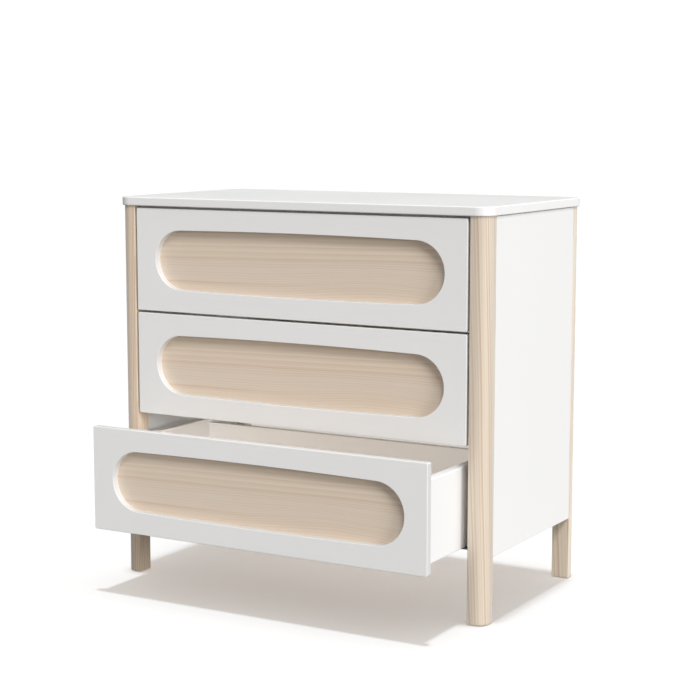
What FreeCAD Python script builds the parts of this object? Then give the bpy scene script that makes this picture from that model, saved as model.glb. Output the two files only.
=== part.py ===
import FreeCAD, Part
import os
from FreeCAD import Vector

# Chest of three drawers: white boards between four pine corner posts that run down as legs.
# Millimetres. X runs across the chest, Y from the front to the back, Z up from the floor.
# While it is drawn, Y = 0 is the front plane of the posts. Every piece is then moved along Y so
# that the origin lies on the floor, in the middle of the box round the chest as it is stored:
# upper and middle drawers shut, lower drawer pulled out by REST_OPENING.

# Carcass
POSTS_WIDTH = 900.0          # over the outer faces of the posts
POSTS_DEPTH = 473.0
CHEST_HEIGHT = 850.0
TOP_THICKNESS = 19.0
TOP_OVERHANG = 5.0           # beyond the posts, all round
POST_WIDTH = 39.0            # along X
POST_DEPTH = 40.0            # along Y
POST_CORNER_RADIUS = 26.0    # on the outer vertical edge
GLIDE_HEIGHT = 1.5
GLIDE_RADIUS = 14.0
GLIDE_PIN_RADIUS = 1.2
GLIDE_PIN_LENGTH = 16.0
SIDE_PANEL_THICKNESS = 18.0
SIDE_PANEL_GAP = 1.5         # shadow line under the top
PANEL_BOTTOM = 138.0         # lower edge of side panels, back panel and lowest front
BACK_PANEL_THICKNESS = 8.0
BACK_REBATE = 10.0           # width and depth of the step in each rear post
RAIL_THICKNESS = 20.0
RAIL_WIDTH = 60.0
REAR_BOTTOM_RAIL_THICKNESS = 16.0
FRONT_RAIL_SETBACK = 22.0    # from the front plane of the posts

# Drawers
DRAWER_NAMES = ("lower", "middle", "upper")
FRONT_HEIGHT = 226.0
FRONT_GAP = 5.0              # between one front and the next
FRONT_SIDE_GAP = 5.0         # between a front and the posts
FRONT_THICKNESS = 16.0
FRONT_RECESS = 0.5           # behind the front plane of the posts
PILL_LENGTH = 710.0
PILL_HEIGHT = 136.0
PILL_BOW_RADIUS = 14000.0    # the long edges bow out by 3 mm
PILL_RISE = 114.0            # pill's middle above the front's lower edge
BOX_HALF_WIDTH = 393.0
BOX_HEIGHT = 170.0
BOX_RISE = 16.0              # box's lower edge above the front's lower edge
SIDE_THICKNESS = 20.0
SIDE_REAR = 413.0            # rear end of the box sides, drawer shut
INNER_FRONT_THICKNESS = 16.0
INNER_FRONT_RISE = 5.0       # inner front's lower edge above the sides', clear of the runners
BACK_THICKNESS = 16.0
BACK_DROP = 9.5              # back board's top below the sides' top
BACK_SETBACK = 4.0           # back board's rear face in from the ends of the sides
BOTTOM_THICKNESS = 6.0
BOTTOM_RISE = 13.0           # bottom board above the box's lower edge
GROOVE_DEPTH = 6.0
REST_OPENING = 166.5         # how far the lower drawer is pulled out as stored

# Edge rounding
TOP_ARRIS = 2.5
FRONT_ARRIS = 1.5
FRONT_CORNER_RADIUS = 3.5    # seen from the front
PILL_ARRIS = 1.0
BOARD_ARRIS = 1.0
BOX_ARRIS = 2.0
POST_ARRIS = 1.5

# Concealed runners, below the box floor; heights are from the box's lower edge
STEEL = 1.5
RUNNER_INNER = 350.0         # X of the channel's inner face
RUNNER_OUTER = 370.0         # X of the channel's outer face
CHANNEL_BOTTOM = -2.6
CHANNEL_TOP = 3.6
CHANNEL_LIP = 3.0
FLANGE_TOP = 23.0
MIDDLE_BOTTOM = -0.6
MIDDLE_TOP = 11.0
MIDDLE_INNER = 353.0
MIDDLE_OUTER = 367.0
COVER_INNER = 349.5
COVER_OUTER = 370.5
COVER_BOTTOM = 5.0
COVER_LIP = 3.0
CHANNEL_FRONT = 20.0         # ends of the fixed member along Y
CHANNEL_REAR = 446.0
MIDDLE_FRONT = 38.0          # ends of the intermediate member, drawer shut
MIDDLE_REAR = 412.0
COVER_FRONT = 36.0           # front end of the drawer member, drawer shut

# Catches that lock the drawer to its runners
CATCH_INNER = 322.0
CATCH_OUTER = 348.0
CATCH_LENGTH = 42.0
CATCH_BOTTOM = 1.5
CATCH_WINDOW_WIDTH = 12.0    # opening in the clip that its release lever moves in
CATCH_WINDOW_SETBACK = 10.0
CATCH_LEVER_PLAY = 1.0       # each side of the lever
CATCH_LEVER_REACH = 22.0
CATCH_LEVER_THICKNESS = 3.0

# Push-to-open units
EJECTOR_INNER = 376.0
EJECTOR_OUTER = 396.0
EJECTOR_FRONT = 418.0
EJECTOR_TOP = 14.0
EJECTOR_AXIS_X = 384.0
EJECTOR_AXIS_Z = 5.5
PLUNGER_RADIUS = 3.5
PLUNGER_CLEARANCE = 0.05
PLUNGER_GAP = 0.5            # between plunger and the shut drawer
PLUNGER_LENGTH = 20.0
PLUNGER_BORE_LENGTH = 24.0

# Fasteners
DOWEL_RADIUS = 4.0
DOWEL_LENGTH = 30.0
DOWEL_CHAMFER = 1.0
BACK_SCREW_LENGTH = 16.0
RUNNER_SCREW_LENGTH = 16.0
TOP_SCREW_BITE = 11.0        # how far a screw goes up into the top
SCREW_SHANK_RADIUS = 2.0
SCREW_HEAD_RADIUS = 4.0
SCREW_HEAD_HEIGHT = 2.2
RECESS_ARM = 5.0             # length of each slot of the cross recess
RECESS_WIDTH = 1.1
RECESS_DEPTH = 1.3
CAM_RADIUS = 7.5
CAM_DEPTH = 12.5
CAM_PROUD = 0.3
CAM_FROM_POST = 24.0
CAM_BOLT_RADIUS = 3.0
CAM_BOLT_IN_POST = 10.0

# Worked out
top_underside = CHEST_HEIGHT - TOP_THICKNESS
half_posts = POSTS_WIDTH / 2
post_inner = half_posts - POST_WIDTH
rear_post_front = POSTS_DEPTH - POST_DEPTH
panel_inner = half_posts - SIDE_PANEL_THICKNESS
panel_top = top_underside - SIDE_PANEL_GAP
back_seat = POSTS_DEPTH - BACK_REBATE
back_half_width = post_inner + BACK_REBATE
back_outer = back_seat + BACK_PANEL_THICKNESS
rail_bottom = top_underside - RAIL_THICKNESS
front_half_width = post_inner - FRONT_SIDE_GAP
front_back_face = FRONT_RECESS + FRONT_THICKNESS
inner_front_back = front_back_face + INNER_FRONT_THICKNESS
box_inner = BOX_HALF_WIDTH - SIDE_THICKNESS
back_board_rear = SIDE_REAR - BACK_SETBACK
back_board_front = back_board_rear - BACK_THICKNESS
pill_half_length = PILL_LENGTH / 2
pill_half_height = PILL_HEIGHT / 2
# Each round end runs smoothly into the bowed edges: the two arcs touch where their centres line up
pill_end_radius = ((2 * pill_half_height * PILL_BOW_RADIUS - pill_half_height**2 - pill_half_length**2)
                   / (2 * (PILL_BOW_RADIUS - pill_half_length)))
bow_share = PILL_BOW_RADIUS / (PILL_BOW_RADIUS - pill_end_radius)
pill_corner_x = bow_share * (pill_half_length - pill_end_radius)
pill_corner_z = pill_half_height - PILL_BOW_RADIUS + bow_share * (PILL_BOW_RADIUS - pill_half_height)
stored_front = FRONT_RECESS - REST_OPENING
stored_rear = POSTS_DEPTH + TOP_OVERHANG
frame_shift = Vector(0, -(stored_front + stored_rear) / 2, 0)

ALONG_X = Vector(1, 0, 0)
ALONG_Y = Vector(0, 1, 0)
UP = Vector(0, 0, 1)
ORIGIN = Vector(0, 0, 0)


def front_bottom(level):
    """Height of a drawer front's lower edge; level 0 is the lowest drawer."""
    return PANEL_BOTTOM + level * (FRONT_HEIGHT + FRONT_GAP)


def box_bottom(level):
    """Height of a drawer box's lower edge."""
    return front_bottom(level) + BOX_RISE


def save(node, shape, slide=0.0):
    """Move a piece by its drawer's slide and into the model's frame, and write its STEP file."""
    placed = shape.translated(frame_shift + Vector(0, -slide, 0))
    placed.exportStep("parts/" + node + ".step")


def block(x_range, y_range, z_range):
    corner = Vector(x_range[0], y_range[0], z_range[0])
    size = [end - start for start, end in (x_range, y_range, z_range)]
    return Part.makeBox(size[0], size[1], size[2], corner)


def board(x_range, y_range, z_range, arris):
    """A flat board with all its edges slightly rounded."""
    plain = block(x_range, y_range, z_range)
    return plain.makeFillet(arris, plain.Edges)


def rod(radius, start, direction, length):
    return Part.makeCylinder(radius, length, start, direction)


def mirrored(shape):
    return shape.mirror(ORIGIN, ALONG_X)


def pair(right_shape):
    """The right-hand piece and its mirror image, as two solids."""
    return Part.makeCompound([right_shape, mirrored(right_shape)])


def joined(shapes):
    return shapes[0].fuse(shapes[1:]).removeSplitter()


def is_upright(edge):
    return edge.BoundBox.XLength < 0.01 and edge.BoundBox.YLength < 0.01


def placed_along(shape, point, direction):
    """Turn a piece drawn along +Z so that it points along direction, starting at point."""
    shape.Placement = FreeCAD.Placement(point, FreeCAD.Rotation(UP, direction))
    return shape


def cross_recess(depth_from, depth):
    """Two crossed slots, cut into the end of a fastener drawn along +Z."""
    arm = RECESS_ARM / 2
    slot = RECESS_WIDTH / 2
    heights = (depth_from, depth_from + depth)
    return joined([
        block((-arm, arm), (-slot, slot), heights),
        block((-slot, slot), (-arm, arm), heights),
    ])


def screw(point, direction, length):
    """Pan-head screw: point is on the surface under the head, direction goes into the wood."""
    head = Part.makeCylinder(SCREW_HEAD_RADIUS, SCREW_HEAD_HEIGHT, Vector(0, 0, -SCREW_HEAD_HEIGHT))
    rim = [edge for edge in head.Edges if edge.BoundBox.ZMax < -SCREW_HEAD_HEIGHT + 0.01]
    head = head.makeFillet(SCREW_HEAD_HEIGHT * 0.7, rim)
    shank = Part.makeCylinder(SCREW_SHANK_RADIUS, length)
    tip = Part.makeCone(SCREW_SHANK_RADIUS, SCREW_SHANK_RADIUS / 4, SCREW_SHANK_RADIUS * 2,
                        Vector(0, 0, length))
    whole = joined([head, shank, tip]).cut(cross_recess(-SCREW_HEAD_HEIGHT, RECESS_DEPTH))
    return placed_along(whole, point, direction)


def dowel(middle, direction):
    """Grooveless wooden dowel with chamfered ends, centred on a joint face."""
    pin = Part.makeCylinder(DOWEL_RADIUS, DOWEL_LENGTH)
    rims = [edge for edge in pin.Edges if not is_upright(edge)]
    pin = pin.makeChamfer(DOWEL_CHAMFER, rims)
    return placed_along(pin, middle - direction * (DOWEL_LENGTH / 2), direction)


# ---------------------------------------------------------------- carcass boards

def make_top():
    reach = half_posts + TOP_OVERHANG
    plain = block((-reach, reach), (-TOP_OVERHANG, stored_rear), (top_underside, CHEST_HEIGHT))
    corners = [edge for edge in plain.Edges if is_upright(edge)]
    rounded = plain.makeFillet(POST_CORNER_RADIUS + TOP_OVERHANG, corners)
    rims = [edge for edge in rounded.Edges if not is_upright(edge)]
    return rounded.makeFillet(TOP_ARRIS, rims)


def make_post(front):
    """Right-hand post; the outer vertical edge has the large radius."""
    y_range = (0, POST_DEPTH) if front else (rear_post_front, POSTS_DEPTH)
    outer_y = 0 if front else POSTS_DEPTH
    plain = block((post_inner, half_posts), y_range, (GLIDE_HEIGHT, top_underside))
    uprights = [edge for edge in plain.Edges if is_upright(edge)]
    outer = [edge for edge in uprights
             if abs(edge.Vertexes[0].X - half_posts) < 0.01 and abs(edge.Vertexes[0].Y - outer_y) < 0.01]
    post = plain.makeFillet(POST_CORNER_RADIUS, outer)
    small = [edge for edge in post.Edges if is_upright(edge) and abs(edge.Vertexes[0].X - post_inner) < 0.01]
    post = post.makeFillet(POST_ARRIS, small)
    foot = [edge for edge in post.Edges if edge.BoundBox.ZMax < GLIDE_HEIGHT + 0.01]
    post = post.makeChamfer(BOARD_ARRIS, foot)
    if not front:
        step = block((post_inner - 1, back_half_width), (back_seat, POSTS_DEPTH + 1),
                     (PANEL_BOTTOM, CHEST_HEIGHT))
        post = post.cut(step)
    return post


def make_side_panel():
    return board((panel_inner, half_posts), (POST_DEPTH, rear_post_front), (PANEL_BOTTOM, panel_top),
                 BOARD_ARRIS)


def make_back_panel():
    return board((-back_half_width, back_half_width), (back_seat, back_outer),
                 (PANEL_BOTTOM, top_underside), BOARD_ARRIS / 2)


def make_rails():
    """Front and rear rails under the top, and a rail on edge at the foot of the back."""
    width = (-post_inner, post_inner)
    top_heights = (rail_bottom, top_underside)
    front_depths = (FRONT_RAIL_SETBACK, FRONT_RAIL_SETBACK + RAIL_WIDTH)
    rear_depths = (back_seat - RAIL_WIDTH, back_seat)
    foot_depths = (back_seat - REAR_BOTTOM_RAIL_THICKNESS, back_seat)
    foot_heights = (PANEL_BOTTOM, PANEL_BOTTOM + RAIL_WIDTH)
    return {
        "front_top_rail": board(width, front_depths, top_heights, BOARD_ARRIS),
        "rear_top_rail": board(width, rear_depths, top_heights, BOARD_ARRIS),
        "rear_bottom_rail": board(width, foot_depths, foot_heights, BOARD_ARRIS),
    }


# ---------------------------------------------------------------- carcass fasteners

def make_side_panel_dowels():
    """Three dowels in each of the four joints between side panels and posts."""
    x = half_posts - SIDE_PANEL_THICKNESS / 2
    height = panel_top - PANEL_BOTTOM
    right = []
    for share in (0.1, 0.5, 0.9):
        z = PANEL_BOTTOM + height * share
        for y in (POST_DEPTH, rear_post_front):
            right.append(dowel(Vector(x, y, z), ALONG_Y))
    return Part.makeCompound(right + [mirrored(pin) for pin in right])


def rail_fittings():
    """Where the bolt crosses each rail's end, and the way its cam is pressed in."""
    top_middle = (rail_bottom + top_underside) / 2
    top_face = rail_bottom - CAM_PROUD
    foot_y = back_seat - REAR_BOTTOM_RAIL_THICKNESS / 2
    foot_z = PANEL_BOTTOM + RAIL_WIDTH / 2
    foot_face = back_seat - REAR_BOTTOM_RAIL_THICKNESS - CAM_PROUD
    cam_x = post_inner - CAM_FROM_POST
    fittings = []
    for y in (FRONT_RAIL_SETBACK + RAIL_WIDTH / 2, back_seat - RAIL_WIDTH / 2):
        fittings.append((Vector(cam_x, y, top_middle), Vector(cam_x, y, top_face), UP))
    fittings.append((Vector(cam_x, foot_y, foot_z), Vector(cam_x, foot_face, foot_z), ALONG_Y))
    return fittings


def make_cam_bolts():
    right = []
    for bolt_start, cam_face, cam_direction in rail_fittings():
        right.append(rod(CAM_BOLT_RADIUS, bolt_start, ALONG_X, CAM_FROM_POST + CAM_BOLT_IN_POST))
    return Part.makeCompound(right + [mirrored(bolt) for bolt in right])


def make_cam_locks():
    """Discs with a cross recess, bored to take the head of their bolt."""
    right = []
    for bolt_start, cam_face, cam_direction in rail_fittings():
        disc = Part.makeCylinder(CAM_RADIUS, CAM_DEPTH + CAM_PROUD)
        disc = placed_along(disc.cut(cross_recess(0, RECESS_DEPTH)), cam_face, cam_direction)
        bolt = rod(CAM_BOLT_RADIUS, bolt_start, ALONG_X, CAM_FROM_POST)
        right.append(disc.cut(bolt))
    return Part.makeCompound(right + [mirrored(disc) for disc in right])


def make_top_screws():
    length = RAIL_THICKNESS + TOP_SCREW_BITE
    screws = []
    for y in (FRONT_RAIL_SETBACK + RAIL_WIDTH / 2, back_seat - RAIL_WIDTH / 2):
        for share in (-0.6, 0, 0.6):
            screws.append(screw(Vector(post_inner * share, y, rail_bottom), UP, length))
    return Part.makeCompound(screws)


def make_back_panel_screws():
    """Down both edges into the posts, and along the top and foot into the rear rails."""
    into_chest = -ALONG_Y
    screws = []
    edge_x = back_half_width - BACK_REBATE / 2
    for share in (0.08, 0.36, 0.64, 0.92):
        z = PANEL_BOTTOM + (top_underside - PANEL_BOTTOM) * share
        for x in (-edge_x, edge_x):
            screws.append(screw(Vector(x, back_outer, z), into_chest, BACK_SCREW_LENGTH))
    for z in (PANEL_BOTTOM + RAIL_WIDTH / 4, top_underside - RAIL_THICKNESS / 2):
        for share in (-0.5, 0, 0.5):
            screws.append(screw(Vector(post_inner * share, back_outer, z), into_chest, BACK_SCREW_LENGTH))
    return Part.makeCompound(screws)


def make_foot_glides():
    """Round nail-on glides under the four legs."""
    glides = []
    for y in (POST_DEPTH / 2, POSTS_DEPTH - POST_DEPTH / 2):
        centre = Vector((post_inner + half_posts) / 2, y, 0)
        disc = rod(GLIDE_RADIUS, centre, UP, GLIDE_HEIGHT)
        lower_rim = [edge for edge in disc.Edges if edge.BoundBox.ZMax < 0.01]
        disc = disc.makeFillet(GLIDE_HEIGHT / 3, lower_rim)
        pin = rod(GLIDE_PIN_RADIUS, centre + UP * (GLIDE_HEIGHT / 2), UP, GLIDE_PIN_LENGTH)
        glides.append(joined([disc, pin]))
    return Part.makeCompound(glides + [mirrored(glide) for glide in glides])


# ---------------------------------------------------------------- runners

def steel_section(plates, y_range):
    """Rolled section: plates are (x_range, z_range) strips of its cross-section, run along Y."""
    return joined([block(x_range, y_range, z_range) for x_range, z_range in plates])


def make_fixed_members(bottom):
    """Fixed members: a lipped channel under the box and a flange up the posts' inner faces."""
    low = bottom + CHANNEL_BOTTOM
    high = bottom + CHANNEL_TOP
    floor = (low, low + STEEL)
    lip = (high - STEEL, high)
    plates = [
        ((RUNNER_INNER, post_inner), floor),
        ((RUNNER_INNER, RUNNER_INNER + STEEL), (low, high)),
        ((RUNNER_INNER, RUNNER_INNER + STEEL + CHANNEL_LIP), lip),
        ((RUNNER_OUTER - STEEL, RUNNER_OUTER), (low, high)),
        ((RUNNER_OUTER - STEEL - CHANNEL_LIP, RUNNER_OUTER), lip),
        ((post_inner - STEEL, post_inner), (low, bottom + FLANGE_TOP)),
    ]
    return pair(steel_section(plates, (CHANNEL_FRONT, CHANNEL_REAR)))


def make_intermediates(bottom):
    """Intermediate members: I-sections that run in the channel and carry the drawer member."""
    low = bottom + MIDDLE_BOTTOM
    high = bottom + MIDDLE_TOP
    web_middle = (MIDDLE_INNER + MIDDLE_OUTER) / 2
    plates = [
        ((MIDDLE_INNER, MIDDLE_OUTER), (low, low + STEEL)),
        ((web_middle - STEEL, web_middle + STEEL), (low, high)),
        ((MIDDLE_INNER, MIDDLE_OUTER), (high - STEEL, high)),
    ]
    return pair(steel_section(plates, (MIDDLE_FRONT, MIDDLE_REAR)))


def make_drawer_members(bottom):
    """Drawer members: covers with turned-in lips, fixed under the drawer's bottom board."""
    high = bottom + BOTTOM_RISE
    low = bottom + COVER_BOTTOM
    lip = (low, low + STEEL)
    plates = [
        ((COVER_INNER, COVER_OUTER), (high - STEEL, high)),
        ((COVER_INNER, COVER_INNER + STEEL), (low, high)),
        ((COVER_INNER, COVER_INNER + STEEL + COVER_LIP), lip),
        ((COVER_OUTER - STEEL, COVER_OUTER), (low, high)),
        ((COVER_OUTER - STEEL - COVER_LIP, COVER_OUTER), lip),
    ]
    return pair(steel_section(plates, (COVER_FRONT, back_board_rear)))


def make_runner_screws():
    """One screw at each end of every fixed member, through the flange into the posts."""
    front_y = (CHANNEL_FRONT + POST_DEPTH) / 2
    rear_y = (rear_post_front + CHANNEL_REAR) / 2
    right = []
    for level in range(len(DRAWER_NAMES)):
        z = box_bottom(level) + FLANGE_TOP / 2
        for y in (front_y, rear_y):
            right.append(screw(Vector(post_inner - STEEL, y, z), ALONG_X, RUNNER_SCREW_LENGTH))
    return Part.makeCompound(right + [mirrored(item) for item in right])


def make_runner_catches(bottom):
    """Plastic clips beside the drawer members, behind the inner front, with a release lever."""
    y_range = (inner_front_back, inner_front_back + CATCH_LENGTH)
    heights = (bottom + CATCH_BOTTOM, bottom + BOTTOM_RISE)
    body = board((CATCH_INNER, CATCH_OUTER), y_range, heights, BOARD_ARRIS)
    middle = (CATCH_INNER + CATCH_OUTER) / 2
    half = CATCH_WINDOW_WIDTH / 2
    window_start = inner_front_back + CATCH_WINDOW_SETBACK
    window = block((middle - half, middle + half), (window_start, y_range[1] + 1),
                   (heights[0] - 1, sum(heights) / 2))
    lever_half = half - CATCH_LEVER_PLAY
    lever_bottom = heights[0] + CATCH_LEVER_PLAY / 2
    lever = board((middle - lever_half, middle + lever_half),
                  (window_start - CATCH_LEVER_PLAY, window_start + CATCH_LEVER_REACH),
                  (lever_bottom, lever_bottom + CATCH_LEVER_THICKNESS), BOARD_ARRIS / 2)
    return pair(joined([body.cut(window), lever]))


# ---------------------------------------------------------------- push-to-open units

def plunger_axis(level):
    return Vector(EJECTOR_AXIS_X, SIDE_REAR + PLUNGER_GAP, box_bottom(level) + EJECTOR_AXIS_Z)


def make_ejector_housings():
    """Spring housings that stand on the fixed members, one behind each drawer side."""
    right = []
    for level in range(len(DRAWER_NAMES)):
        seat = box_bottom(level) + CHANNEL_BOTTOM + STEEL
        shell = board((EJECTOR_INNER, EJECTOR_OUTER), (EJECTOR_FRONT, CHANNEL_REAR),
                      (seat, box_bottom(level) + EJECTOR_TOP), BOARD_ARRIS)
        bore_start = plunger_axis(level)
        bore = rod(PLUNGER_RADIUS + PLUNGER_CLEARANCE, bore_start, ALONG_Y,
                   PLUNGER_BORE_LENGTH)
        right.append(shell.cut(bore))
    return Part.makeCompound(right + [mirrored(shell) for shell in right])


def make_plungers(level):
    rod_shape = rod(PLUNGER_RADIUS, plunger_axis(level), ALONG_Y, PLUNGER_LENGTH)
    front_rim = [edge for edge in rod_shape.Edges
                 if edge.BoundBox.YMax < SIDE_REAR + PLUNGER_GAP + 0.01]
    return pair(rod_shape.makeFillet(PLUNGER_RADIUS / 2, front_rim))


# ---------------------------------------------------------------- drawers

def pill_prism(level):
    """Pill-shaped prism through a drawer front."""
    z = front_bottom(level) + PILL_RISE
    y = FRONT_RECESS - 1
    upper_right = Vector(pill_corner_x, y, z + pill_corner_z)
    lower_right = Vector(pill_corner_x, y, z - pill_corner_z)
    lower_left = Vector(-pill_corner_x, y, z - pill_corner_z)
    upper_left = Vector(-pill_corner_x, y, z + pill_corner_z)
    top = Vector(0, y, z + pill_half_height)
    right_end = Vector(pill_half_length, y, z)
    foot = Vector(0, y, z - pill_half_height)
    left_end = Vector(-pill_half_length, y, z)
    outline = Part.Wire([
        Part.Arc(upper_left, top, upper_right).toShape(),
        Part.Arc(upper_right, right_end, lower_right).toShape(),
        Part.Arc(lower_right, foot, lower_left).toShape(),
        Part.Arc(lower_left, left_end, upper_left).toShape(),
    ])
    return Part.Face(outline).extrude(ALONG_Y * (FRONT_THICKNESS + 2))


def make_front_board(level):
    low = front_bottom(level)
    plain = block((-front_half_width, front_half_width), (FRONT_RECESS, front_back_face),
                  (low, low + FRONT_HEIGHT))
    corners = [edge for edge in plain.Edges if edge.BoundBox.YLength > FRONT_THICKNESS / 2]
    rounded = plain.makeFillet(FRONT_CORNER_RADIUS, corners)
    rims = [edge for edge in rounded.Edges if edge.BoundBox.YLength < 0.01]
    pierced = rounded.makeFillet(FRONT_ARRIS, rims).cut(pill_prism(level))
    reach = pill_half_length + 1
    rim = [edge for edge in pierced.Edges
           if edge.BoundBox.YMax < FRONT_RECESS + 0.01 and edge.BoundBox.XMax < reach
           and edge.BoundBox.XMin > -reach
           and abs(edge.BoundBox.Center.z - low - PILL_RISE) < pill_half_height + 1]
    return pierced.makeFillet(PILL_ARRIS, rim)


def make_bottom_board(bottom):
    reach = box_inner + GROOVE_DEPTH
    heights = (bottom + BOTTOM_RISE, bottom + BOTTOM_RISE + BOTTOM_THICKNESS)
    return block((-reach, reach), (inner_front_back - GROOVE_DEPTH, back_board_rear), heights)


def make_inner_front(bottom):
    plain = board((-box_inner, box_inner), (front_back_face, inner_front_back),
                  (bottom + INNER_FRONT_RISE, bottom + BOX_HEIGHT), BOARD_ARRIS)
    return plain.cut(make_bottom_board(bottom))


def make_box_side(bottom):
    plain = board((box_inner, BOX_HALF_WIDTH), (front_back_face, SIDE_REAR),
                  (bottom, bottom + BOX_HEIGHT), BOX_ARRIS)
    return plain.cut(make_bottom_board(bottom))


def make_back_board(bottom):
    heights = (bottom + BOTTOM_RISE + BOTTOM_THICKNESS, bottom + BOX_HEIGHT - BACK_DROP)
    return board((-box_inner, box_inner), (back_board_front, back_board_rear), heights, BOARD_ARRIS)


def make_box_dowels(bottom):
    """Two dowels in each corner joint of the drawer box."""
    right = []
    for y in ((front_back_face + inner_front_back) / 2, (back_board_front + back_board_rear) / 2):
        for share in (0.3, 0.75):
            z = bottom + BOX_HEIGHT * share
            right.append(dowel(Vector(box_inner, y, z), ALONG_X))
    return Part.makeCompound(right + [mirrored(pin) for pin in right])


def make_front_screws(level):
    """Four screws from inside the box, clear of the pill's rounded ends."""
    middle = front_bottom(level) + FRONT_HEIGHT / 2
    length = INNER_FRONT_THICKNESS + FRONT_THICKNESS / 2
    x = pill_half_length - 5
    offset = pill_half_height - 10
    right = [screw(Vector(x, inner_front_back, middle + side * offset), -ALONG_Y, length)
             for side in (-1, 1)]
    return Part.makeCompound(right + [mirrored(item) for item in right])


def save_drawer(level, name, slide):
    bottom = box_bottom(level)
    right_side = make_box_side(bottom)
    pieces = {
        "front_board": make_front_board(level),
        "inner_front": make_inner_front(bottom),
        "right_side": right_side,
        "left_side": mirrored(right_side),
        "back_board": make_back_board(bottom),
        "bottom_board": make_bottom_board(bottom),
        "box_dowels": make_box_dowels(bottom),
        "front_screws": make_front_screws(level),
        "runner_members": make_drawer_members(bottom),
        "runner_catches": make_runner_catches(bottom),
    }
    for piece, shape in pieces.items():
        save(name + "_drawer_" + piece, shape, slide)


def save_carcass():
    side_panel = make_side_panel()
    front_post = make_post(front=True)
    rear_post = make_post(front=False)
    pieces = {
        "top_panel": make_top(),
        "right_side_panel": side_panel,
        "left_side_panel": mirrored(side_panel),
        "front_right_post": front_post,
        "front_left_post": mirrored(front_post),
        "rear_right_post": rear_post,
        "rear_left_post": mirrored(rear_post),
        "back_panel": make_back_panel(),
        "side_panel_dowels": make_side_panel_dowels(),
        "cam_bolts": make_cam_bolts(),
        "cam_locks": make_cam_locks(),
        "top_screws": make_top_screws(),
        "back_panel_screws": make_back_panel_screws(),
        "foot_glides": make_foot_glides(),
        "runner_screws": make_runner_screws(),
        "ejector_housings": make_ejector_housings(),
    }
    pieces.update(make_rails())
    for node, shape in pieces.items():
        save(node, shape)


os.makedirs("parts", exist_ok=True)
save_carcass()
for level, name in enumerate(DRAWER_NAMES):
    slide = REST_OPENING if name == "lower" else 0.0
    bottom = box_bottom(level)
    save(name + "_runner_fixed_members", make_fixed_members(bottom))
    save(name + "_runner_intermediates", make_intermediates(bottom), slide / 2)
    save(name + "_ejector_plungers", make_plungers(level))
    save_drawer(level, name, slide)
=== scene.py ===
"""Looks of the chest of drawers: finishes for every CAD node, a pale floor, soft light and the camera."""

import math

import bpy
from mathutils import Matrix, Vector


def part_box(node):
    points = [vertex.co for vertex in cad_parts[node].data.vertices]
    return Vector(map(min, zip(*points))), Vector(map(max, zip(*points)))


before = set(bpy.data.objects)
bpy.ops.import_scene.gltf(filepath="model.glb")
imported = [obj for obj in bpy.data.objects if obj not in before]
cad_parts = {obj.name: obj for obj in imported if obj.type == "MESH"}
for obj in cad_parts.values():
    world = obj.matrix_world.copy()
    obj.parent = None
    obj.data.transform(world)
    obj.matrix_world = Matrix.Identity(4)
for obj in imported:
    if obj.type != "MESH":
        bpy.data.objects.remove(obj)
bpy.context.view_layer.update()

DRAWERS = ("lower", "middle", "upper")
MM = 0.001

# Camera, in metres in the frame, with its lens and sensor in millimetres
CAMERA_PLACE = (1.9046, -3.2227, 1.0262)
CAMERA_TILT = -7.719             # degrees above the horizon
CAMERA_TURN = 29.947             # degrees to the left of +Y
CAMERA_LENS = 88.76
SENSOR_WIDTH = 36.0

# Studio sky
WHITE = (1.0, 1.0, 1.0)
SKY_STRENGTH = 0.391
SKY_FROM_FRONT = 0.08            # added to the strength straight ahead of the fronts, taken off behind
SKY_SEEN = 1.05                  # what the camera sees past the floor

# Studio lamps. A lamp's azimuth counts from the front round to the right, its elevation from the horizon,
# and its softness is the angle it takes up, all in degrees. It lights only the things it is aimed at.
LAMPS = {
    "key": {"azimuth": 45, "elevation": 45, "softness": 20, "strength": 1.55, "onto": "chest"},
    "side": {"azimuth": 70, "elevation": 10, "softness": 20, "strength": 1.44, "onto": "chest"},
    "rear_side": {"azimuth": 110, "elevation": 10, "softness": 20, "strength": 0.22, "onto": "chest"},
    "top": {"azimuth": 0, "elevation": 90, "softness": 20, "strength": 0.80, "onto": "chest"},
    "overhead": {"azimuth": 0, "elevation": 90, "softness": 3, "strength": 1.19, "onto": "floor"},
    "drawer_fill": {"azimuth": 0, "elevation": 8, "softness": 20, "strength": 0.90, "onto": "open_drawer"},
    "cross_fill": {"azimuth": 75, "elevation": 8, "softness": 20, "strength": 0.45, "onto": "open_drawer"},
    "rear_fill": {"azimuth": 0, "elevation": 8, "softness": 20, "strength": 1.75, "onto": "back"},
    "behind": {"azimuth": 220, "elevation": 35, "softness": 20, "strength": 1.60, "onto": "far_faces"},
    "inner_side": {"azimuth": 30, "elevation": 15, "softness": 20, "strength": 1.04, "onto": "far_side"},
}
LAMP_TINTS = {"overhead": (0.83, 0.93, 1.0)}    # cools the lit floor, which glows warm by itself
SHADOWLESS = ("drawer_fill", "cross_fill", "rear_fill")
FAR_PIECES = (                   # what faces left or back, away from the other lamps
    "back_panel",
    "back_panel_screws",
    "left_side_panel",
    "front_left_post",
    "rear_left_post",
    "rear_right_post",
)

# Floor, in metres and as linear colour
FLOOR_SIZE = 60.0
FLOOR_PAPER = (0.93, 0.93, 0.93)
FLOOR_GREY = (0.50, 0.50, 0.50)
FLOOR_GREY_SHARE = 0.02
FLOOR_GLOW = (0.380, 0.345, 0.318)
FLOOR_BOUNCE = (0.365, 0.340, 0.315)    # what all but the camera meets, so that little light comes back

# Paints and boards, as linear colour
LACQUER = (0.925, 0.922, 0.918)
FRONT_EDGE_SHADE = 0.78           # painted shade on a front's edges beside its faces, darkening its gaps and recess walls
FOIL = (0.895, 0.890, 0.880)

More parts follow.
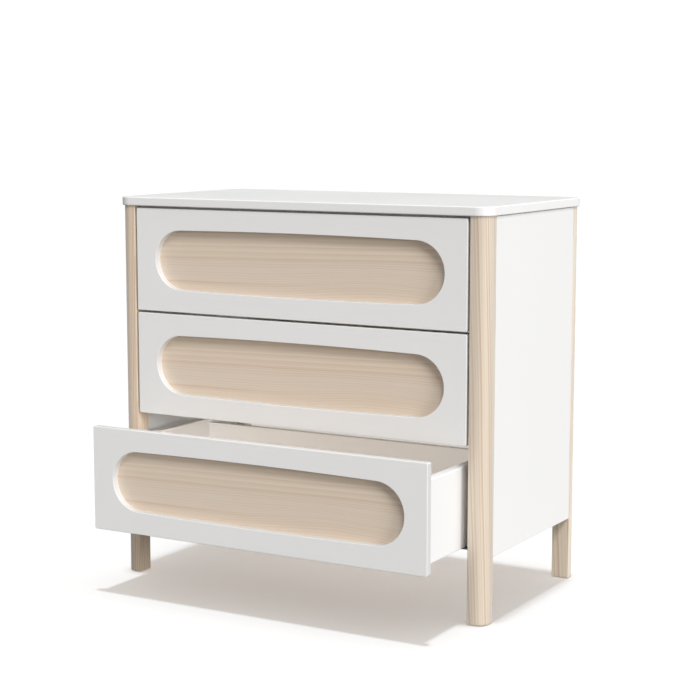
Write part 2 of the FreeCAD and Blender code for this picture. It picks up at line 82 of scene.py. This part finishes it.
# Metals, as linear colour
SPANGLE_BRIGHT = (0.62, 0.64, 0.66)
SPANGLE_DARK = (0.48, 0.50, 0.53)

# Woods, as linear colour
PINE_STRAW = (0.800, 0.684, 0.569)
PINE_BLUSH = (0.785, 0.655, 0.523)
PINE_PALE = (0.850, 0.760, 0.645)
PINE_LATEWOOD = (0.610, 0.440, 0.310)
PINE_STREAK = (0.660, 0.445, 0.330)
PLYWOOD = (0.760, 0.640, 0.480)
PLYWOOD_DARK = (0.700, 0.570, 0.410)
BEECH = (0.60, 0.42, 0.27)
BEECH_DARK = (0.52, 0.34, 0.21)
BEECH_FLECK = (0.30, 0.17, 0.09)

# One growth ring, in shares of its width from the start of its early wood
RING_PALE_AT = 0.14
RING_PALE_HALF_WIDTH = 0.13
RING_DARK_END = 0.80             # where the dark line starts to fade

# Grain of the panels behind the fronts, in metres from a panel's centre
GRAIN_RISE = 0.020               # how much the lines climb to the right
GRAIN_LEAN = 0.35                # and how much they drop from the face into the board
GRAIN_WANDER = 5 * MM
SWELL_X = 175 * MM               # where the lines lift over a hidden knot
SWELL_Z = -30 * MM
SWELL_HEIGHT = 14 * MM
SWELL_HALF_LENGTH = 150 * MM
SWELL_HALF_DEPTH = 40 * MM
UPPER_STREAK = 18 * MM           # heights of the two brown streaks
UPPER_STREAK_HALF_WIDTH = 1.6 * MM
LOWER_STREAK = -33 * MM
LOWER_STREAK_HALF_WIDTH = 2.6 * MM
FINE_PITCH = 5.2 * MM            # of the growth rings up to UPPER_STREAK
WIDE_PITCH = 11.5 * MM           # of those above it

# Grain of the posts, in metres from a post's centre
POST_RING_PITCH = 5.2 * MM
POST_TAPER = 0.030               # how far the rings lean for each metre of height
POST_SWAY = 9 * MM
PITHS = {                        # the tree's centre seen from each post
    "front_right_post": (-0.10, -0.10),
    "front_left_post": (0.11, -0.09),
    "rear_right_post": (-0.09, 0.11),
    "rear_left_post": (0.10, 0.10),
}
# The rear right post is lightened where it stands in shade, the front right darkened where it is strongly
# lit, the front left warmed.
POST_LIGHT_TONES = {                   # each post's pine colours are multiplied by these: partly painted light and shade
    "front_right_post": (0.925, 0.945, 0.945),
    "front_left_post": (0.99, 0.945, 0.87),
    "rear_right_post": (1.13, 1.155, 1.13),
    "rear_left_post": (1.0, 1.0, 1.0),
}


class Nodes:
    """Adds nodes to one tree. An input takes a number, a colour or another node's output."""

    def __init__(self, owner):
        owner.use_nodes = True
        self.tree = owner.node_tree
        self.tree.nodes.clear()

    def feed(self, socket, value):
        if isinstance(value, bpy.types.NodeSocket):
            self.tree.links.new(value, socket)
        elif hasattr(socket.default_value, "__len__") and len(socket.default_value) == 4:
            socket.default_value = (*value[:3], 1.0)
        else:
            socket.default_value = value

    def add(self, kind, inputs=None, **settings):
        node = self.tree.nodes.new("ShaderNode" + kind)
        for name, value in settings.items():
            setattr(node, name, value)
        for name, value in (inputs or {}).items():
            self.feed(node.inputs[name], value)
        return node

    def math(self, operation, *values, **settings):
        node = self.add("Math", operation=operation, **settings)
        for socket, value in zip(node.inputs, values):
            self.feed(socket, value)
        return node.outputs["Value"]

    def vector_math(self, operation, first, second):
        node = self.add("VectorMath", operation=operation)
        self.feed(node.inputs[0], first)
        self.feed(node.inputs[1], second)
        return node.outputs["Vector"]

    def mix(self, factor, first, second):
        """Blends two colours. The node has sockets for other kinds of value before those for colours."""
        node = self.add("Mix", {"Factor": factor}, data_type="RGBA")
        self.feed(node.inputs[6], first)
        self.feed(node.inputs[7], second)
        return node.outputs[2]

    def noise(self, scale, vector=None, along=None, detail=2.0, roughness=0.5):
        """Smooth noise from 0 to 1, in space or, given along, on a line."""
        inputs = {"Scale": scale, "Detail": detail, "Roughness": roughness}
        if along is not None:
            inputs["W"] = along
            return self.add("TexNoise", inputs, noise_dimensions="1D").outputs["Fac"]
        inputs["Vector"] = vector
        return self.add("TexNoise", inputs).outputs["Fac"]

    def spread(self, value, low, high, to_low=0.0, to_high=1.0):
        """Maps low..high to to_low..to_high, clamped, with soft ends."""
        inputs = {
            "Value": value,
            "From Min": low,
            "From Max": high,
            "To Min": to_low,
            "To Max": to_high,
        }
        return self.add("MapRange", inputs, interpolation_type="SMOOTHSTEP").outputs["Result"]

    def bell(self, value, centre, half_width):
        """A smooth hump, 1 at centre, fading over half_width."""
        offset = self.math("DIVIDE", self.math("SUBTRACT", value, centre), half_width)
        return self.math("EXPONENT", self.math("MULTIPLY", self.math("POWER", offset, 2.0), -1.0))

    def place(self, centre=(0.0, 0.0, 0.0)):
        """The point on the piece, measured from centre, as a vector and as x, y and z."""
        point = self.add("TexCoord").outputs["Object"]
        vector = self.vector_math("SUBTRACT", point, tuple(centre))
        return vector, *self.add("SeparateXYZ", {"Vector": vector}).outputs

    def scaled(self, vector, factors):
        return self.vector_math("MULTIPLY", vector, factors)

    def relief(self, height, depth):
        """A bump of that depth in metres where height is 1."""
        return self.add("Bump", {"Height": height, "Distance": depth, "Strength": 1.0}).outputs["Normal"]

    def camera_choice(self, seen, unseen, output):
        """Ends the tree in one shader for what the camera sees and another for all other light."""
        choice = self.add("MixShader", {"Fac": self.add("LightPath").outputs["Is Camera Ray"]})
        self.tree.links.new(unseen.outputs[0], choice.inputs[1])
        self.tree.links.new(seen.outputs[0], choice.inputs[2])
        self.tree.links.new(choice.outputs[0], self.add(output).inputs["Surface"])

    def surface(self, **inputs):
        """Ends the tree in a Principled surface. An underscore stands for a blank in an input's name."""
        named = {key.replace("_", " "): value for key, value in inputs.items()}
        shader = self.add("BsdfPrincipled", named)
        self.tree.links.new(shader.outputs[0], self.add("OutputMaterial").inputs["Surface"])


def node_centre(name):
    low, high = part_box(name)
    return (low + high) / 2


def toned(colour, share):
    return tuple(share * part for part in colour)


def new_material(name):
    material = bpy.data.materials.new(name)
    return material, Nodes(material)


def paint(node_name, material):
    """Gives the whole CAD node that material."""
    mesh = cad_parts[node_name].data
    for slot in range(len(mesh.materials)):
        mesh.materials[slot] = material


def rings(n, across, count, unevenness):
    """From how many rings have passed: the dark late-wood line of each ring, and the pale one after it."""
    uneven = n.math("MULTIPLY", n.math("SUBTRACT", n.noise(55.0, along=across), 0.5), unevenness)
    phase = n.math("FRACT", n.math("ADD", count, uneven))
    rise = n.math("POWER", phase, 1.8)
    fall = n.spread(phase, RING_DARK_END, 1.0, 1.0, 0.0)
    depth = n.spread(n.noise(95.0, along=across, detail=1.0), 0.32, 0.68, 0.25, 1.0)
    late = n.math("MULTIPLY", n.math("MULTIPLY", rise, fall), depth)
    return late, n.bell(phase, RING_PALE_AT, RING_PALE_HALF_WIDTH)


def finish_pine(n, late, pale, fibre_place, blush, streaks, tone=WHITE, polish=0.0):
    """The rest of a pine surface, once its lines and warmer zones are known. Polish adds coat and sheen."""
    fibres = n.noise(1.0, vector=fibre_place, detail=3.0, roughness=0.6)
    ground = n.mix(pale, n.mix(blush, PINE_STRAW, PINE_BLUSH), PINE_PALE)
    lined = n.mix(late, ground, PINE_LATEWOOD)
    streaked = n.mix(streaks, lined, PINE_STREAK)
    colour = n.mix(n.spread(fibres, 0.3, 0.75, 0.0, 0.12), streaked, PINE_LATEWOOD)
    height = n.math("ADD", n.math("MULTIPLY", late, 0.7), n.math("MULTIPLY", fibres, 0.3))
    # tone multiplies the colours; for the posts it is partly painted light and shade
    n.surface(
        Base_Color=n.scaled(colour, tone),
        Roughness=n.spread(n.math("ADD", late, fibres), 0.2, 1.4, 0.62, 0.50),
        IOR=1.45,
        Sheen_Weight=polish,
        Coat_Weight=0.5 * polish,
        Coat_Roughness=0.35,
        Normal=n.relief(height, 0.06 * MM),
    )


def panel_heights(n, vector, x, y, z):
    """Heights above a panel's centre along the grain, without and with its lift over the hidden knot."""
    wander = n.math("SUBTRACT", n.noise(1.0, vector=n.scaled(vector, (5.0, 5.0, 22.0)), detail=1.0), 0.5)
    level = n.math("SUBTRACT", z, n.math("MULTIPLY", x, GRAIN_RISE))
    level = n.math("ADD", level, n.math("MULTIPLY", wander, GRAIN_WANDER))
    level = n.math("ADD", level, n.math("MULTIPLY", y, GRAIN_LEAN))
    swell = n.math("MULTIPLY", n.bell(x, SWELL_X, SWELL_HALF_LENGTH), n.bell(z, SWELL_Z, SWELL_HALF_DEPTH))
    return level, n.math("SUBTRACT", level, n.math("MULTIPLY", swell, SWELL_HEIGHT))


def panel_ring_count(n, across):
    """Rings passed at that height: fine ones up to the upper streak, wide ones above it."""
    above = n.math("MAXIMUM", n.math("SUBTRACT", across, UPPER_STREAK), 0.0)
    saved = n.math("MULTIPLY", above, 1 / FINE_PITCH - 1 / WIDE_PITCH)
    return n.math("SUBTRACT", n.math("DIVIDE", across, FINE_PITCH), saved)


def panel_pine(drawer):
    """Pine with level grain: broad at the top, fine below, lifting over a hidden knot at the right."""
    node_name = f"{drawer}_drawer_inner_front"
    material, n = new_material(f"pine_{drawer}_panel")
    vector, x, y, z = n.place(node_centre(node_name))
    level, across = panel_heights(n, vector, x, y, z)
    late, pale = rings(n, across, panel_ring_count(n, across), unevenness=1.2)
    late = n.math("MULTIPLY", late, n.spread(x, -220 * MM, 160 * MM, 0.40, 0.60))
    upper = n.spread(across, UPPER_STREAK - 8 * MM, UPPER_STREAK + 4 * MM)
    lower = n.spread(level, LOWER_STREAK - 6 * MM, LOWER_STREAK + 8 * MM, 1.0, 0.0)
    blush = n.math("MULTIPLY", n.math("MAXIMUM", upper, lower), 0.8)
    pale = n.math("MULTIPLY", pale, n.math("ADD", n.math("MULTIPLY", upper, 0.30), 0.12))
    high_streak = n.math("MULTIPLY", n.bell(across, UPPER_STREAK, UPPER_STREAK_HALF_WIDTH), 0.42)
    low_fade = n.spread(x, -250 * MM, 30 * MM, 0.50, 0.0)
    low_streak = n.math("MULTIPLY", n.bell(level, LOWER_STREAK, LOWER_STREAK_HALF_WIDTH), low_fade)
    streaks = n.math("ADD", high_streak, low_streak)
    finish_pine(n, late, pale, n.scaled(vector, (14.0, 900.0, 900.0)), blush, streaks)
    return node_name, material


def post_pine(node_name):
    """Pine with its grain upright, cut from beside the tree's centre."""
    material, n = new_material(f"pine_{node_name}")
    vector, x, y, z = n.place(node_centre(node_name))
    sway = n.scaled(vector, (1.5, 1.5, 1.6))
    pith_x, pith_y = PITHS[node_name]
    east = n.math("ADD", x, n.math("MULTIPLY", n.noise(1.0, vector=sway, detail=1.0), POST_SWAY))
    north = n.math("ADD", y, n.math("MULTIPLY", n.noise(1.3, vector=sway, detail=1.0), POST_SWAY))
    east = n.math("SUBTRACT", east, pith_x)
    north = n.math("SUBTRACT", north, pith_y)
    squares = n.math("ADD", n.math("POWER", east, 2.0), n.math("POWER", north, 2.0))
    across = n.math("ADD", n.math("SQRT", squares), n.math("MULTIPLY", z, POST_TAPER))
    late, pale = rings(n, across, n.math("DIVIDE", across, POST_RING_PITCH), unevenness=1.1)
    late = n.math("MULTIPLY", late, 1.5, use_clamp=True)
    pale = n.math("MULTIPLY", pale, 0.30)
    blush = n.spread(n.noise(30.0, along=across, detail=1.0), 0.35, 0.65)
    fibre_place = n.scaled(vector, (900.0, 900.0, 14.0))
    finish_pine(n, late, pale, fibre_place, blush, 0.0, POST_LIGHT_TONES[node_name], polish=1.0)
    return node_name, material


def lacquer(name, edge_shade):
    """Sprayed white lacquer: a faint orange peel, and gloss that varies a little.

    The second argument darkens the edges, which are all the faces that look neither forward nor back:
    painted shade.
    """
    material, n = new_material(name)
    vector = n.place()[0]
    cloud = n.noise(3.0, vector=vector, detail=3.0)
    peel = n.noise(420.0, vector=vector, detail=2.0, roughness=0.45)
    facing = n.add("SeparateXYZ", {"Vector": n.add("NewGeometry").outputs["Normal"]}).outputs["Y"]
    edge_shade_mask = n.spread(n.math("ABSOLUTE", facing), 0.3, 0.8, 1.0, 0.0)
    tone = n.mix(n.spread(cloud, 0.3, 0.7, 0.0, 0.35), LACQUER, toned(LACQUER, 0.96))
    # painted shade: the edges darkened, so that gaps and recess walls look shaded
    tone = n.mix(edge_shade_mask, tone, toned(LACQUER, edge_shade))
    n.surface(
        Base_Color=tone,
        Roughness=n.spread(cloud, 0.3, 0.7, 0.36, 0.44),
        IOR=1.5,
        Normal=n.relief(peel, 0.012 * MM),
    )
    return material


def foil_board():
    """Board faced with white foil: a fine pressed texture, duller than the lacquer."""
    material, n = new_material("white_foil_board")
    vector = n.place()[0]
    pores = n.noise(1.0, vector=n.scaled(vector, (180.0, 900.0, 900.0)), detail=2.0)
    cloud = n.noise(5.0, vector=vector, detail=2.0)
    n.surface(
        Base_Color=n.mix(n.spread(cloud, 0.3, 0.7, 0.0, 0.5), FOIL, toned(FOIL, 0.95)),
        Roughness=n.spread(pores, 0.3, 0.7, 0.48, 0.60),
        IOR=1.5,
        Normal=n.relief(pores, 0.03 * MM),
    )
    return material


def plywood():
    """Pine-faced plywood, varnished clear: broad soft figure across the drawer."""
    material, n = new_material("clear_plywood")
    vector = n.place()[0]
    figure = n.noise(1.0, vector=n.scaled(vector, (3.0, 26.0, 26.0)), detail=3.0)
    fibres = n.noise(1.0, vector=n.scaled(vector, (16.0, 700.0, 700.0)), detail=3.0)
    ground = n.mix(n.spread(figure, 0.35, 0.65), PLYWOOD, PLYWOOD_DARK)
    n.surface(
        Base_Color=n.mix(n.spread(fibres, 0.35, 0.75, 0.0, 0.2), ground, PINE_LATEWOOD),
        Roughness=n.spread(fibres, 0.3, 0.7, 0.50, 0.62),
        IOR=1.45,
        Normal=n.relief(fibres, 0.04 * MM),
    )
    return material


def beech():
    """Turned beech: pinkish, with short dark flecks along the dowel."""
    material, n = new_material("beech_dowel")
    vector = n.place()[0]
    flecks = n.noise(1.0, vector=n.scaled(vector, (2200.0, 260.0, 2200.0)), detail=2.0)
    streaks = n.noise(1.0, vector=n.scaled(vector, (700.0, 40.0, 700.0)), detail=2.0)
    ground = n.mix(n.spread(streaks, 0.35, 0.65), BEECH, BEECH_DARK)
    n.surface(
        Base_Color=n.mix(n.spread(flecks, 0.58, 0.70, 0.0, 0.6), ground, BEECH_FLECK),
        Roughness=n.spread(streaks, 0.3, 0.7, 0.55, 0.68),
        Normal=n.relief(flecks, 0.05 * MM),
    )
    return material


def metal(name, bright, dull, grain, roughness, depth):
    """Bare metal whose colour, gloss and relief follow one noise. Roughness is its lowest and highest."""
    material, n = new_material(name)
    vector = n.place()[0]
    mottle = n.noise(grain, vector=vector, detail=3.0)
    stain = n.noise(grain * 0.08, vector=vector, detail=2.0)
    mixed = n.math("MULTIPLY", n.math("ADD", mottle, stain), 0.5)
    n.surface(
        Base_Color=n.mix(n.spread(mixed, 0.35, 0.65), bright, dull),
        Metallic=1.0,
        Roughness=n.spread(mixed, 0.3, 0.7, *roughness),
        Normal=n.relief(mottle, depth),
    )
    return material


def galvanised():
    """Galvanised sheet: flat crystals of zinc a few millimetres wide."""
    material, n = new_material("galvanised_sheet")
    vector = n.place()[0]
    spangle = n.add("TexVoronoi", {"Vector": vector, "Scale": 170.0, "Randomness": 1.0})
    crystal = n.add("SeparateXYZ", {"Vector": spangle.outputs["Color"]}).outputs["X"]
    rolled = n.noise(1.0, vector=n.scaled(vector, (900.0, 30.0, 900.0)), detail=2.0)
    n.surface(
        Base_Color=n.mix(n.spread(crystal, 0.0, 1.0), SPANGLE_BRIGHT, SPANGLE_DARK),
        Metallic=1.0,
        Roughness=n.spread(n.math("ADD", crystal, rolled), 0.2, 1.6, 0.28, 0.50),
        Normal=n.relief(rolled, 0.01 * MM),
    )
    return material


def moulded(name, colour, roughness):
    """Moulded plastic with a fine sparked texture."""
    material, n = new_material(name)
    vector = n.place()[0]
    spark = n.noise(1600.0, vector=vector, detail=2.0)
    flow = n.noise(40.0, vector=vector, detail=2.0)
    n.surface(
        Base_Color=n.mix(n.spread(flow, 0.3, 0.7, 0.0, 0.5), colour, toned(colour, 0.85)),
        Roughness=n.spread(spark, 0.3, 0.7, roughness - 0.06, roughness + 0.06),
        IOR=1.48,
        Normal=n.relief(spark, 0.02 * MM),
    )
    return material


def paint_all():
    """One finish for each of the record's slots, except that fronts and pine pieces have their own."""
    finishes = {
        "white_lacquer": lacquer("satin_white_lacquer", 1.0),
        "white_board": foil_board(),
        "plywood": plywood(),
        "beech": beech(),
        "zinc_steel": metal(
            "zinc_plated_steel",
            bright=(0.66, 0.66, 0.68),
            dull=(0.50, 0.50, 0.53),
            grain=900.0,
            roughness=(0.24, 0.40),
            depth=0.01 * MM,
        ),
        "cast_zinc": metal(
            "zinc_casting",
            bright=(0.52, 0.52, 0.54),
            dull=(0.36, 0.36, 0.38),
            grain=600.0,
            roughness=(0.42, 0.60),
            depth=0.04 * MM,
        ),
        "galvanised_steel": galvanised(),
        "grey_plastic": moulded("grey_moulding", (0.30, 0.31, 0.32), 0.48),
        "plunger_plastic": moulded("pale_moulding", (0.62, 0.63, 0.63), 0.42),
        "glide_plastic": moulded("glide_moulding", (0.10, 0.09, 0.085), 0.52),
    }
    # the fronts' lacquer, with painted shade on their edges
    edge_shaded_front_lacquer = lacquer("satin_white_front_shaded_edges", FRONT_EDGE_SHADE)
    own_finishes = {f"{drawer}_drawer_front_board": edge_shaded_front_lacquer for drawer in DRAWERS}
    own_finishes.update(panel_pine(drawer) for drawer in DRAWERS)
    own_finishes.update(post_pine(name) for name in PITHS)
    for name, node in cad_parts.items():
        slot = node.data.materials[0].name
        paint(name, own_finishes[name] if name in own_finishes else finishes[slot])


def make_floor():
    """A plain pale floor, wide enough to reach the horizon. It looks brighter than it lights the chest."""
    half = FLOOR_SIZE / 2
    mesh = bpy.data.meshes.new("studio_floor")
    corners = [(-half, -half, 0.0), (half, -half, 0.0), (half, half, 0.0), (-half, half, 0.0)]
    mesh.from_pydata(corners, [], [(0, 1, 2, 3)])
    floor = bpy.data.objects.new("studio_floor", mesh)
    bpy.context.scene.collection.objects.link(floor)
    material, n = new_material("pale_floor")
    grain = n.noise(2.0, vector=n.place()[0], detail=2.0)
    paper = n.add(
        "BsdfPrincipled",
        {
            "Base Color": n.mix(n.spread(grain, 0.3, 0.7, 0.0, FLOOR_GREY_SHARE), FLOOR_PAPER, FLOOR_GREY),
            "Roughness": 0.6,
            "Specular IOR Level": 0.0,
            "Emission Color": FLOOR_GLOW,
            "Emission Strength": 1.0,
        },
    )
    dim_paper = n.add("BsdfDiffuse", {"Color": FLOOR_BOUNCE})
    n.camera_choice(paper, dim_paper, "OutputMaterial")
    mesh.materials.append(material)
    return floor


def make_sky():
    """Soft light from all round, a little stronger from the front, plain white to look at."""
    world = bpy.data.worlds.new("studio_sky")
    bpy.context.scene.world = world
    n = Nodes(world)
    seen = n.add("Background", {"Color": WHITE, "Strength": SKY_SEEN})
    direction = n.add("SeparateXYZ", {"Vector": n.add("TexCoord").outputs["Generated"]})
    from_behind = n.math("MULTIPLY", direction.outputs["Y"], SKY_FROM_FRONT)
    strength = n.math("SUBTRACT", SKY_STRENGTH, from_behind)
    lit = n.add("Background", {"Color": WHITE, "Strength": strength})
    n.camera_choice(seen, lit, "OutputWorld")


def lit_groups(floor):
    """The groups of things that lamps are aimed at."""
    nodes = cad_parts
    groups = {
        "chest": list(nodes.values()),
        "open_drawer": [nodes["lower_drawer_left_side"], nodes["lower_drawer_back_board"]],
        "back": [nodes["back_panel"]],
        "far_faces": [nodes[name] for name in FAR_PIECES],
        "far_side": [nodes["left_side_panel"]],
        "floor": [floor],
    }
    collections = {}
    for name, members in groups.items():
        collections[name] = bpy.data.collections.new("lit_" + name)
        for member in members:
            collections[name].objects.link(member)
    return collections


def make_lamps(floor):
    """Soft distant lamps. Only the floor, which shades nothing, may block the shadowless ones."""
    groups = lit_groups(floor)
    for name, lamp in LAMPS.items():
        azimuth = math.radians(lamp["azimuth"])
        elevation = math.radians(lamp["elevation"])
        level = math.cos(elevation)
        toward = Vector((level * math.sin(azimuth), -level * math.cos(azimuth), math.sin(elevation)))
        data = bpy.data.lights.new(name + "_lamp", "SUN")
        data.energy = lamp["strength"]
        data.angle = math.radians(lamp["softness"])
        data.color = LAMP_TINTS.get(name, WHITE)
        light = bpy.data.objects.new(name + "_lamp", data)
        light.rotation_euler = toward.to_track_quat("Z", "Y").to_euler()
        light.light_linking.receiver_collection = groups[lamp["onto"]]
        if name in SHADOWLESS:
            light.light_linking.blocker_collection = groups["floor"]
        bpy.context.scene.collection.objects.link(light)


def make_camera():
    data = bpy.data.cameras.new("camera")
    data.sensor_width = SENSOR_WIDTH
    data.lens = CAMERA_LENS
    camera = bpy.data.objects.new("camera", data)
    camera.location = CAMERA_PLACE
    camera.rotation_euler = (math.radians(90.0 + CAMERA_TILT), 0.0, math.radians(CAMERA_TURN))
    bpy.context.scene.collection.objects.link(camera)
    bpy.context.scene.camera = camera


make_camera()
paint_all()
make_lamps(make_floor())
make_sky()
bpy.context.scene.view_settings.view_transform = "Standard"
